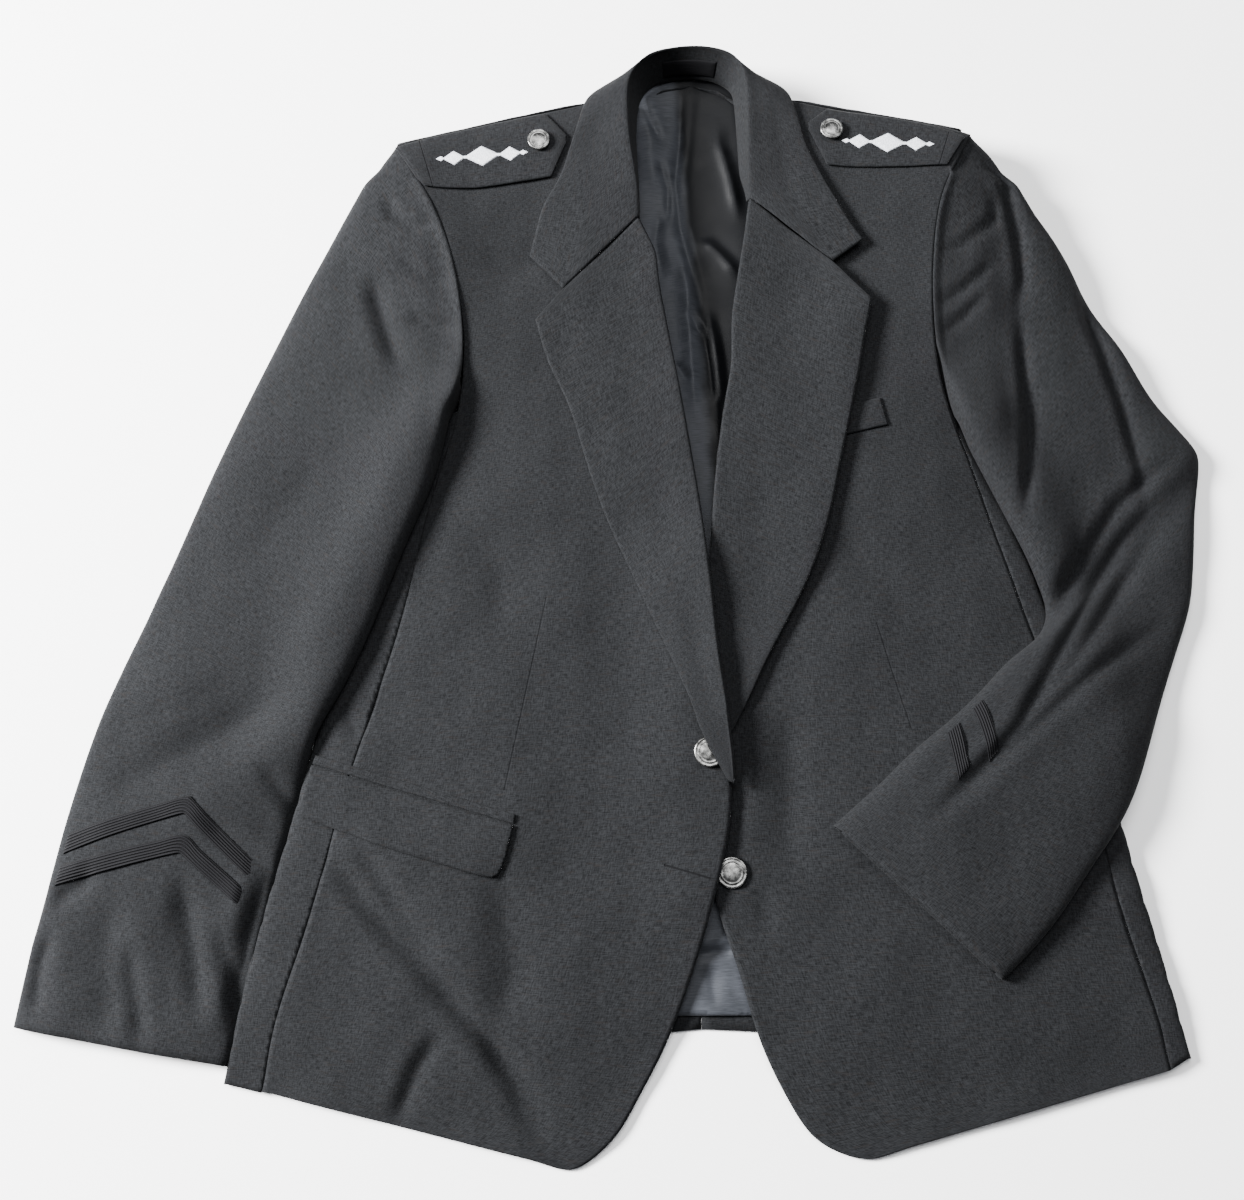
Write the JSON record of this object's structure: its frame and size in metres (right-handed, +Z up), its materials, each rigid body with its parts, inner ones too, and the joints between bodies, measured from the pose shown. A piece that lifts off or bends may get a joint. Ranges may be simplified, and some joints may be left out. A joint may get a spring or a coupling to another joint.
{
  "type": "bus driver uniform jacket",
  "caption": "Dark grey wool uniform jacket laid flat on its back, right sleeve folded across, with notched lapels, epaulettes, metal buttons, hip pocket flap and sleeve braid.",
  "frame": {"origin": "centre of the jacket's box, on the surface it lies on", "axes": "+Z up from the surface, +Y towards the collar, +X to the right as seen from above"},
  "size_m": [0.8532, 0.8382, 0.0469],
  "materials": {
    "front_left": "matte worsted wool",
    "front_right": "matte worsted wool",
    "side_left": "matte worsted wool",
    "side_right": "matte worsted wool",
    "back_left": "matte worsted wool",
    "back_right": "matte worsted wool",
    "lapel_left": "matte worsted wool",
    "lapel_right": "matte worsted wool",
    "collar": "matte worsted wool",
    "neck_tape": "plain tape",
    "lining_back": "satin lining",
    "sleeve_left_top": "matte worsted wool",
    "sleeve_left_under": "matte worsted wool",
    "sleeve_right_top": "matte worsted wool",
    "sleeve_right_under": "matte worsted wool",
    "epaulette_left": "matte worsted wool",
    "epaulette_right": "matte worsted wool",
    "pocket_flap_left": "matte worsted wool",
    "pocket_jet_left": "matte worsted wool",
    "breast_welt": "matte worsted wool",
    "braid_left_upper": "ribbed braid",
    "braid_left_lower": "ribbed braid",
    "braid_right_upper": "ribbed braid",
    "braid_right_lower": "ribbed braid",
    "button_front_upper": "brushed silver plate",
    "button_front_lower": "brushed silver plate",
    "button_shoulder_left": "brushed silver plate",
    "button_shoulder_right": "brushed silver plate"
  },
  "bodies": {
    "root": {"front_left": "front_left", "front_right": "front_right", "side_left": "side_left", "side_right": "side_right", "back_left": "back_left", "back_right": "back_right", "lapel_left": "lapel_left", "lapel_right": "lapel_right", "collar": "collar", "neck_tape": "neck_tape", "lining_back": "lining_back", "sleeve_left_top": "sleeve_left_top", "sleeve_left_under": "sleeve_left_under", "sleeve_right_top": "sleeve_right_top", "sleeve_right_under": "sleeve_right_under", "epaulette_left": "epaulette_left", "epaulette_right": "epaulette_right", "pocket_flap_left": "pocket_flap_left", "pocket_jet_left": "pocket_jet_left", "breast_welt": "breast_welt", "braid_left_upper": "braid_left_upper", "braid_left_lower": "braid_left_lower", "braid_right_upper": "braid_right_upper", "braid_right_lower": "braid_right_lower", "button_front_upper": "button_front_upper", "button_front_lower": "button_front_lower", "button_shoulder_left": "button_shoulder_left", "button_shoulder_right": "button_shoulder_right"}
  },
  "joints": []
}
